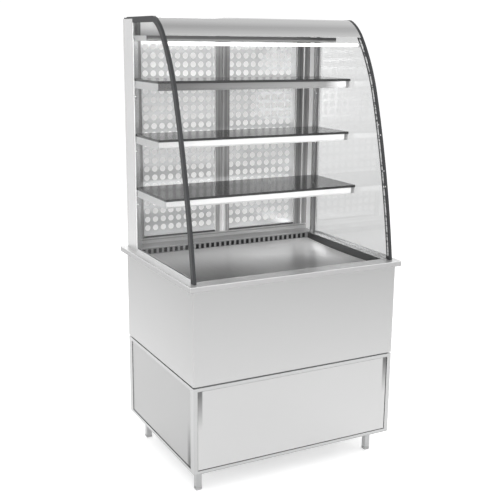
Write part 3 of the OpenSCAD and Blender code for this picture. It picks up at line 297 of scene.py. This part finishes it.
def cheek_look():
    """Casing sheets: brushed outside, lighter satin on their inner faces, which have painted light:
    a lighter tone and a glow.
    """
    sheet_x = (0.4634, 0.4652)
    t = new_tree("cheek_steel")
    inner = t.spread(t.math("ABSOLUTE", t.split()["X"]), 1, 0, *sheet_x)
    lines = t.noise(1.0, GRAIN["x"], detail=2)
    # The inner faces: painted light, a lighter tone and a glow.
    tone = t.plus(t.pick(inner, 0.57, 0.9), t.spread(lines, -0.008, 0.008))
    t.put(Base_Color=t.grey(tone), Roughness=t.pick(inner, 0.24, 0.4),
          Metallic=t.pick(inner, 0.6, 0.1),
          Emission_Color=WHITE_GLOW, Emission_Strength=t.pick(inner, 0, 0.24))
    t.relief(lines, 0.006)
    return t.owner


def mullion_look():
    """Rolled channels with painted light: dark flanks, a lighter groove and edges, lighter lower
    down, painted shade on the outer ones, and a painted highlight at the middle one's foot.
    """
    half_pitch, half_width = 0.214, 0.035
    # Tones across each channel: painted light and shade on its faces.
    profile = ((0.0, 0.32), (0.1, 0.44), (0.28, 0.38), (0.42, 0.27), (0.62, 0.34),
               (0.8, 0.42), (0.92, 0.24), (1.0, 0.56))
    height_z, foot_z, outer_x, middle_x = (1.05, 1.5), (1.0, 1.15), (0.05, 0.3), (0.003, 0.02)
    t = new_tree("mullion_steel")
    axes = t.split()
    aside = t.math("ABSOLUTE", axes["X"])
    across = t.math("DIVIDE", t.math("PINGPONG", aside, half_pitch), half_width)
    lines = t.noise(1.0, (260, 4, 1.5), detail=3)
    # Painted highlight at the middle channel's foot.
    foot = t.times(t.spread(axes["Z"], 1, 0, *foot_z), t.spread(aside, 1, 0, *middle_x))
    tone = t.plus(t.ramp(across, profile), t.spread(lines, -0.06, 0.06))
    # Painted shade on the outer channels; lighter lower down.
    shade = t.times(t.spread(aside, 1, 0.8, *outer_x), t.spread(axes["Z"], 1.42, 0.9, *height_z))
    tone = t.plus(t.times(tone, shade), t.times(foot, 1.05))
    t.put(Base_Color=t.grey(tone), Roughness=t.pick(foot, 0.26, 0.32), Metallic=0.45)
    t.relief(lines, 0.01)
    return t.owner


def wall_look():
    """Polished sheet with painted light: lightest, with a painted glow, at its head beside the
    lamp, and a little lighter at its foot.
    """
    head_z, foot_z = (1.83, 1.86), (0.945, 0.985)
    t = new_tree("satin_wall")
    height = t.split()["Z"]
    lines = t.noise(1.0, GRAIN["x"], detail=3)
    # Painted light: a glow and a lighter tone at the head, a lighter tone at the foot.
    head = t.spread(height, 0, 1, *head_z)
    foot = t.spread(height, 1, 0, *foot_z)
    tone = t.plus(t.spread(lines, 0.84, 0.88), t.times(t.plus(head, foot), 0.1))
    t.put(Base_Color=t.blend(tone, BLACK, (0.99, 0.995, 1)),
          Roughness=t.spread(lines, 0.155, 0.165), Metallic=0.35,
          Emission_Color=WHITE_GLOW, Emission_Strength=t.pick(head, 0, 0.22))
    t.relief(lines, 0.01)
    return t.owner


def sill_look():
    """Folded ledge with painted shade in the crease along its step."""
    crease_z, crease_reach = 0.9248, (0.0008, 0.0024)
    t = new_tree("sill_steel")
    off_crease = t.math("ABSOLUTE", t.math("SUBTRACT", t.split()["Z"], crease_z))
    # Painted shade in the crease.
    crease = t.spread(off_crease, 1, 0, *crease_reach)
    lines = t.noise(1.0, GRAIN["z"], detail=3)
    tone = t.plus(t.spread(lines, 0.57, 0.65), t.times(crease, -0.2))
    t.put(Base_Color=t.grey(tone), Roughness=t.pick(crease, 0.28, 0.4), Metallic=0.45)
    t.relief(lines, 0.01)
    return t.owner


def panel_finish(t, tone, lines):
    """The polish that the lower panels share."""
    t.put(Base_Color=t.grey(tone), Roughness=t.spread(t.noise(CLOUD), 0.256, 0.264), Metallic=1.0)
    t.relief(lines, 0.004)
    return t.owner


def front_panel_look():
    """Sheet with painted reflection, a little darker towards the top, and painted shade darkening
    into its folded side edges, most near the top.
    """
    height_z, fold_x, fold_z = (0.14, 0.46), (0.433, 0.4385), (0.3, 0.45)
    t = new_tree("front_panel_steel")
    axes = t.split()
    lines = t.noise(1.0, GRAIN["x"], detail=2)
    # Painted shade into the folded side edges.
    fold = t.times(t.spread(t.math("ABSOLUTE", axes["X"]), 0, 0.7, *fold_x),
                   t.spread(axes["Z"], 0, 1, *fold_z))
    # Painted reflection: a little darker towards the top.
    tone = t.plus(t.spread(axes["Z"], 0.53, 0.485, *height_z), t.spread(lines, -0.006, 0.006))
    return panel_finish(t, t.times(tone, t.math("SUBTRACT", 1.0, fold)), lines)


def side_panel_look():
    """Sheet with painted shade along a narrow fold, darkest towards its lower front corner."""
    fold_y, fold_z = (-0.316, -0.298), (0.15, 0.32)
    t = new_tree("side_panel_steel")
    axes = t.split()
    lines = t.noise(1.0, GRAIN["y"], detail=2)
    # Painted shade along the fold.
    fold = t.times(t.spread(axes["Y"], 0.7, 0, *fold_y), t.spread(axes["Z"], 1, 0, *fold_z))
    tone = t.spread(lines, 0.382, 0.39)
    return panel_finish(t, t.times(tone, t.math("SUBTRACT", 1.0, fold)), lines)


def rail_look():
    """Rail whose front face has painted shade along its top; its arms are plain satin."""
    top_z, front_y = (1.809, 1.8185), (0.1185, 0.124)
    t = new_tree("rail_satin")
    axes = t.split()
    lines = t.noise(1.0, GRAIN["z"], detail=2)
    # Painted shade along the top of the front face.
    dark = t.times(t.spread(axes["Z"], 0, 0.42, *top_z), t.spread(axes["Y"], 1, 0, *front_y))
    t.put(Base_Color=t.grey(t.math("SUBTRACT", t.spread(lines, 0.48, 0.52), dark)),
          Roughness=t.spread(lines, 0.29, 0.31), Metallic=0.3)
    t.relief(lines, 0.005)
    return t.owner


def deck_look():
    """Dished sheet with painted reflection: lighter to the rear and the right, darker to the front
    left, with a glowing painted highlight streak in that corner and a faint painted glow at the
    rear.
    """
    tone_y, tone_x, front_left = (-0.2, 0.2), (-0.46, 0.22), (-0.3, -0.16)
    metal_y, glow_y = (-0.04, 0.26), (0.0, 0.28)
    streak_spot = ((0.384, 0.098, 0.868), (0.2, 0.055, 1), 1.2)
    corner_spot = ((0.5, 0.02, 0.868), (0.36, 0.6, 1), 0.0)
    t = new_tree("deck_steel")
    axes = t.split()
    lines = t.noise(1.0, GRAIN["x"], detail=3)
    cloud = t.noise(3.0, detail=3)
    slant = t.plus(axes["Y"], t.times(axes["X"], 0.24))
    streak = t.ease(t.spot(*streak_spot), 0, 1)
    corner = t.ease(t.spot(*corner_spot), 0, 1)
    # Painted reflection: tones by position, darker to the front left.
    tone = t.times(t.ease(axes["Y"], 0.34, 0.96, *tone_y), t.ease(axes["X"], 0.6, 1.15, *tone_x))
    tone = t.times(tone, t.ease(slant, 0.55, 1, *front_left))
    tone = t.plus(tone, t.spread(cloud, -0.03, 0.03))
    tone = t.plus(tone, t.spread(lines, -0.03, 0.03))
    # Painted highlight: the streak and the lighter right corner.
    tone = t.plus(t.plus(tone, streak), t.times(corner, 0.6))
    metal = t.times(t.ease(axes["Y"], 0.84, 0.2, *metal_y), t.ease(corner, 1, 0.2))
    # Painted glow on the streak and along the rear.
    glow = t.plus(t.times(streak, 0.34), t.ease(axes["Y"], 0, 0.07, *glow_y))
    t.put(Base_Color=t.grey(tone), Roughness=t.spread(cloud, 0.275, 0.285), Metallic=metal,
          Emission_Color=WHITE_GLOW, Emission_Strength=glow)
    t.relief(lines, 0.006)
    return t.owner


# ---------------------------------------------------------------- materials
# By material slot, for the parts that own_look doesn't name
look = {
    # Worktop and body: painted reflection and shade by height, the worktop's rim darker than its
    # top and the body lighter towards its foot.
    "worktop_steel": painted_height_tones("worktop_steel", 0.36, 0.66, 0.896, 0.8995, 0.27, 0.6, grain="y"),
    "body_steel": painted_height_tones("body_steel", 0.47, 0.385, 0.5, 0.88, 0.28, 1.0),
    "panel_steel": steel("panel_steel", (0.55, 0.552, 0.553), 0.26, "x", tone=0.015,
                         relief=0.004),
    "frame_steel": steel("frame_steel", (0.46, 0.462, 0.463), 0.2, "y", tone=0.03,
                         relief=0.006, edge=0.003),
    "liner_steel": steel("liner_steel", (0.5, 0.502, 0.505), 0.28, relief=0.01, metallic=0.4),
    "dark_metal": steel("dark_metal", (0.5, 0.502, 0.505), 0.24, "x", tone=0.03,
                        relief=0.008, metallic=0.45),
    "shelf_plate": solid("shelf_plate", (0.035, 0.0355, 0.036), 0.15, fine=400, relief=0.004,
                         Specular_IOR_Level=0.3),
    "bar_aluminium": steel("bar_aluminium", (0.88, 0.885, 0.89), 0.22, relief=0.02),
    "edge_trim": solid("edge_trim", (0.032, 0.033, 0.035), 0.5, Specular_IOR_Level=0.3),
    "side_glass": glass("side_glass", (0.71, 0.715, 0.715)),
    # The white sheet behind the wall's holes glows a little: painted light.
    "white_sheet": solid("white_sheet", (0.88, 0.88, 0.875), 0.3, fine=300,
                         Emission_Strength=0.18, Emission_Color=WHITE_GLOW),
    "foam": solid("foam", (0.78, 0.72, 0.52), 0.9, fine=260, tone=0.12, relief=0.5),
    "lamp_diffuser": solid("lamp_diffuser", (0.95, 0.95, 0.94), 0.35,
                           Emission_Strength=0.75, Emission_Color=WHITE_GLOW),
    "black_plastic": solid("black_plastic", (0.02, 0.02, 0.02), 0.45),
    "grey_plastic": solid("grey_plastic", (0.3, 0.31, 0.32), 0.45),
    "foot_plastic": solid("foot_plastic", (0.3, 0.3, 0.3), 0.5, relief=0.2),
    "green_rocker": solid("green_rocker", (0.03, 0.35, 0.09), 0.3, Coat_Weight=0.4),
    "white_rocker": solid("white_rocker", (0.8, 0.8, 0.77), 0.3, Coat_Weight=0.4),
    "compressor_black": solid("compressor_black", (0.02, 0.02, 0.021), 0.22, fine=240,
                              relief=0.12, Coat_Weight=0.6),
    "fin_aluminium": steel("fin_aluminium", (0.66, 0.67, 0.68), 0.36, "x"),
    "copper": steel("copper", (0.78, 0.42, 0.27), 0.3, tone=0.12, tint=(0.6, 0.34, 0.22)),
    "screw_steel": steel("screw_steel", (0.62, 0.62, 0.62), 0.22, "x", edge=0.0004),
}
own_look = {
    "side_glass_left": glass("clear_glass", (0.975, 0.977, 0.977), ior=1.05, foot_tint=1.0),
    "display_deck": deck_look(),
    # The well's liner is near black: painted shade in the well.
    "well_liner": steel("duct_steel", (0.07, 0.071, 0.072), 0.3, metallic=0.5),
    "mullions": mullion_look(),
    "sill": sill_look(),
    # The right upright is the left one's steel painted darker: painted shade.
    "upright_right": steel("shaded_upright_steel", (0.27, 0.271, 0.273), 0.24, "x", tone=0.03,
                           relief=0.004, metallic=0.45),
    "upright_left": steel("upright_steel", (0.42, 0.421, 0.423), 0.24, "x", tone=0.03,
                          relief=0.008, metallic=0.45),
    "lower_front_panel": front_panel_look(),
    "shelf_bars": bar_look(),
    "shelf_brackets": steel("bracket_steel", (0.52, 0.522, 0.524), 0.32, tone=0.02,
                            relief=0.004, edge=0.0, metallic=0.25),
    "top_rail": rail_look(),
    "air_grille": steel("grille_steel", (0.34, 0.342, 0.344), 0.32, tone=0.02,
                        relief=0.004, metallic=0.3),
    "perforated_wall": wall_look(),
    # Canopy: painted reflection, lighter at its foot than at its head.
    "canopy": painted_height_tones("canopy_steel", 0.76, 0.49, 1.835, 1.868, 0.16, 1.0, grain="y"),
}
own_look.update(dict.fromkeys(("casing_left_cheek", "casing_right_cheek"), cheek_look()))
own_look.update(dict.fromkeys(("lower_left_panel", "lower_right_panel"), side_panel_look()))
own_look.update(dict.fromkeys(
    ("leg_front_left", "leg_front_right", "leg_rear_left", "leg_rear_right"),
    steel("leg_steel", (0.41, 0.412, 0.415), 0.24, "x", tone=0.03, relief=0.008)))

for part in frame["record"]["subparts"]:
    slots = nodes[part["node"]].data.materials
    slots.clear()
    slots.append(own_look.get(part["node"]) or look[part["material_slot"]])


# ---------------------------------------------------------------- fine trim
X, Y, Z = 0, 1, 2
TOUCH = 0.0001  # gap that keeps a trim's face off the face behind it


def piece(name, blocks, material):
    """One mesh of closed prisms, each given as its two end polygons."""
    made = bmesh.new()
    for first, last in blocks:
        ends = [[made.verts.new(p) for p in ring] for ring in (first, last)]
        made.faces.new(ends[0][::-1])
        made.faces.new(ends[1])
        for i in range(len(first)):
            j = (i + 1) % len(first)
            made.faces.new((ends[0][i], ends[0][j], ends[1][j], ends[1][i]))
    bmesh.ops.recalc_face_normals(made, faces=made.faces)
    mesh = bpy.data.meshes.new(name)
    made.to_mesh(mesh)
    made.free()
    obj = bpy.data.objects.new(name, mesh)
    scene.collection.objects.link(obj)
    mesh.materials.append(material)
    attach(obj, "cabinet")


def chamfered(low, high, axis, edge):
    """Ends of a bar along one axis, with its four long edges cut."""
    a, b = [i for i in range(3) if i != axis]
    ring = [(low[a] + edge, low[b]), (high[a] - edge, low[b]),
            (high[a], low[b] + edge), (high[a], high[b] - edge),
            (high[a] - edge, high[b]), (low[a] + edge, high[b]),
            (low[a], high[b] - edge), (low[a], low[b] + edge)]

    def place(end):
        points = []
        for u, v in ring:
            point = [0, 0, 0]
            point[a], point[b], point[axis] = u, v, end[axis]
            points.append(tuple(point))
        return points
    return place(low), place(high)


def mirrored(blocks):
    return [tuple([(-x, y, z) for x, y, z in ring] for ring in block) for block in blocks]


# Near black: the painted shade in the lower panels' gaps.
gap_shade_dark = solid("gap_shade_black", (0.03, 0.03, 0.031), 0.55, fine=500)
wall_rubber = solid("wall_rubber", (0.1, 0.1, 0.1), 0.5, fine=500)
bright = solid("edge_satin", (0.9, 0.9, 0.9), 0.3, metallic=0.3, fine=300, relief=0.01)

# Dark seal at the foot of the back wall, between the mullions
SEAL_X, SEAL_PROUD, SEAL_TALL, SEAL_EDGE = (0.036, 0.392), 0.0075, 0.007, 0.001
sill_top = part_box("sill")[1][2]
wall_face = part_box("perforated_wall")[0][1]
seal = chamfered((SEAL_X[0], wall_face - SEAL_PROUD, sill_top + TOUCH),
                 (SEAL_X[1], wall_face - TOUCH, sill_top + SEAL_TALL), X, SEAL_EDGE)
piece("wall_seal", [seal] + mirrored([seal]), wall_rubber)

# Bright beads on the wall beside the mullions and above the seal
BEADS_X, FOOT_BEAD_X = (0.0352, 0.3904), (0.0378, 0.3902)
BEAD_PROUD, BEAD_WIDE, BEAD_EDGE = 0.0016, 0.0024, 0.0004
BEAD_FOOT, BEAD_TOP_Z = 0.0072, 1.886
bead_foot = sill_top + BEAD_FOOT
beads = []
for x in BEADS_X:
    beads.append(chamfered((x, wall_face - BEAD_PROUD, bead_foot),
                           (x + BEAD_WIDE, wall_face - TOUCH, BEAD_TOP_Z), Z, BEAD_EDGE))
beads.append(chamfered((FOOT_BEAD_X[0], wall_face - BEAD_PROUD, bead_foot),
                       (FOOT_BEAD_X[1], wall_face - TOUCH, bead_foot + BEAD_WIDE), X, BEAD_EDGE))
piece("wall_beads", beads + mirrored(beads), bright)

# Rolled edges on the front of the casing's cheeks, in near-white satin that paints the highlight
# along them.
ROLL_OUT, ROLL_IN, ROLL_PROUD, ROLL_EDGE = 0.0008, 0.0032, 0.0022, 0.0008
ROLL_FOOT, ROLL_HEAD = 0.001, 0.012
cheek_low, cheek_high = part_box("casing_left_cheek")
roll = chamfered((cheek_low[0] - ROLL_OUT, cheek_low[1] - ROLL_PROUD, cheek_low[2] + ROLL_FOOT),
                 (cheek_low[0] + ROLL_IN, cheek_low[1] - TOUCH, cheek_high[2] - ROLL_HEAD),
                 Z, ROLL_EDGE)
piece("cheek_edges", [roll] + mirrored([roll]), bright)

# The sides' outline from the worktop up, in the plane of y and z: a start and tangent
# arcs. Each arc has its lean from upright at both ends in degrees, radius and steps.
OUTLINE_START = (-0.3595, 0.9)
ARCS = ((8.0, 17.6, 4.237855, 40), (17.6, 36.8, 0.811, 30), (36.8, 66.0, 0.215, 14))
trim_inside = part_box("glass_trim_right")[0][0]


def outline(depth):
    """Points of the sides' outline moved in by depth, from the foot up."""
    start = Vector(OUTLINE_START)
    points = []
    for first, last, radius, steps in ARCS:
        a, b = radians(first), radians(last)
        centre = start + radius * Vector((cos(a), -sin(a)))
        for k in range(steps):
            lean = a + (b - a) * k / steps
            points.append(centre - (radius - depth) * Vector((cos(lean), -sin(lean))))
        start = centre - radius * Vector((cos(b), -sin(b)))
    return points


# The glass's edge showing in the trims' inner faces, from the foot to under the canopy, with light
# dashes that paint glints on it.
INSERT_DEPTHS, INSERT_PROUD, INSERT_STEPS = (0.0075, 0.0155), 0.0007, (1, 78)
outer, inner = (outline(depth) for depth in INSERT_DEPTHS)
insert = []
for k in range(*INSERT_STEPS):
    rings = []
    for o, i in zip(outer[k:k + 2], inner[k:k + 2]):
        front, back = trim_inside - INSERT_PROUD, trim_inside - TOUCH
        rings.append([(front, *o), (front, *i), (back, *i), (back, *o)])
    insert.append(tuple(rings))

t = new_tree("glass_edge")
glint_dashes = t.noise(1.0, (8, 30, 95), detail=3, rough=0.7)
t.put(Base_Color=t.blend(t.spread(glint_dashes, 0, 1, 0.37, 0.54),
                         (0.08, 0.081, 0.082), (0.66, 0.665, 0.665)),
      Roughness=t.spread(glint_dashes, 0.2, 0.4), Metallic=0.2)
piece("glass_edges", insert + mirrored(insert), t.owner)

# Small domed pins on the trims beside the shelves, as rings of a radius and a height
PINS_YZ = ((-0.2356, 1.4693), (-0.2532, 1.4267), (-0.2889, 1.277), (-0.3053, 1.2122))
PIN_RINGS = ((0.0026, TOUCH), (0.0026, 0.0012), (0.0012, 0.0019))
PIN_SIDES = 12
pins = []
for y, z in PINS_YZ:
    rings = []
    for radius, proud in PIN_RINGS:
        angles = [radians(360 / PIN_SIDES * k) for k in range(PIN_SIDES)]
        rings.append([(trim_inside - proud, y + radius * cos(a), z + radius * sin(a))
                      for a in angles])
    pins += zip(rings, rings[1:])
piece("trim_pins", pins + mirrored(pins), bright)

# Near-black strips in the gaps beside the lower panels, painted shade in those gaps: each panel,
# its long axis and its depth
GAP_WIDE, GAP_DEPTHS, GAP_ENDS, GAP_EDGE = 0.0016, (0.0012, 0.003), 0.003, 0.0003
gap_shades = []
for node, axis, depth in (("lower_front_panel", X, Y), ("lower_left_panel", Y, X)):
    low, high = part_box(node)
    for end, inward in ((low[axis], GAP_WIDE), (high[axis], -GAP_WIDE)):
        corner_low, corner_high = [0, 0, low[2] + GAP_ENDS], [0, 0, high[2] - GAP_ENDS]
        corner_low[axis], corner_high[axis] = sorted((end, end + inward))
        corner_low[depth], corner_high[depth] = (low[depth] + reach for reach in GAP_DEPTHS)
        gap_shades.append(chamfered(corner_low, corner_high, Z, GAP_EDGE))
piece("panel_gap_shades", gap_shades + mirrored(gap_shades[2:]), gap_shade_dark)

# ---------------------------------------------------------------- stage
bpy.ops.mesh.primitive_circle_add(vertices=96, radius=60, fill_type="NGON", location=(0, 0, 0))
floor = bpy.context.object
floor.name = "floor"
t = new_tree("floor_paper")
t.put(Base_Color=t.blend(t.spread(t.noise(3.0, detail=4), 0, 1),
                         (0.9, 0.9, 0.9), (0.92, 0.92, 0.92)), Roughness=0.7,
      Emission_Color=WHITE_GLOW, Emission_Strength=0.32)
t.relief(t.noise(160.0), 0.04)
floor.data.materials.append(t.owner)


def softbox(name, size, place, aim, power, tall=None):
    """Rectangular light of the width size, square unless it is given a height."""
    data = bpy.data.lights.new(name, "AREA")
    data.shape = "RECTANGLE"
    data.size = size
    data.size_y = tall or size
    data.energy = power
    light = bpy.data.objects.new(name, data)
    light.location = place
    light.rotation_euler = (Vector(aim) - Vector(place)).to_track_quat("-Z", "Y").to_euler()
    scene.collection.objects.link(light)


softbox("front_light", 3.0, (-2.4, -6.2, 2.2), (0, 0, 1.2), 170)
softbox("left_light", 3.4, (-3.4, -3.6, 4.2), (0, 0, 0.9), 110)
softbox("right_light", 3.0, (4.6, -2.6, 3.4), (0, 0, 0.9), 50)
softbox("rear_light", 3.0, (0.5, 4.2, 4.0), (0, 0, 1.2), 60)
softbox("lamp_glow", 0.84, (0, -0.055, 1.8), (0, 0.36, 1.62), 0.3, tall=0.02)

# The room: grey tones by height, from straight down to straight up, and a white
# backdrop that stands behind the case as the photograph shows it
ROOM_TONES = ((0.0, 1.0), (0.46, 0.8), (0.49, 0.4), (0.55, 0.4), (0.66, 0.75), (0.78, 0.85),
              (1.0, 0.66))
BACKDROP = (1.05, 1.05, 1.05)
BACKDROP_EDGE = (0.3, 0.6)  # cosine of the angle from its middle
world = bpy.data.worlds.new("world")
scene.world = world
t = Tree(world, "Background", "Generated")
room = t.ramp(t.spread(t.split()["Z"], 0, 1, -1, 1), ROOM_TONES)
ahead = t.add("ShaderNodeVectorMath", operation="DOT_PRODUCT")
t.feed(ahead.inputs[0], t.place)
t.feed(ahead.inputs[1], (sin(YAW), cos(YAW), 0))
facing = t.spread(ahead.outputs["Value"], 0, 1, *BACKDROP_EDGE)
t.put(Color=t.blend(facing, room, BACKDROP))
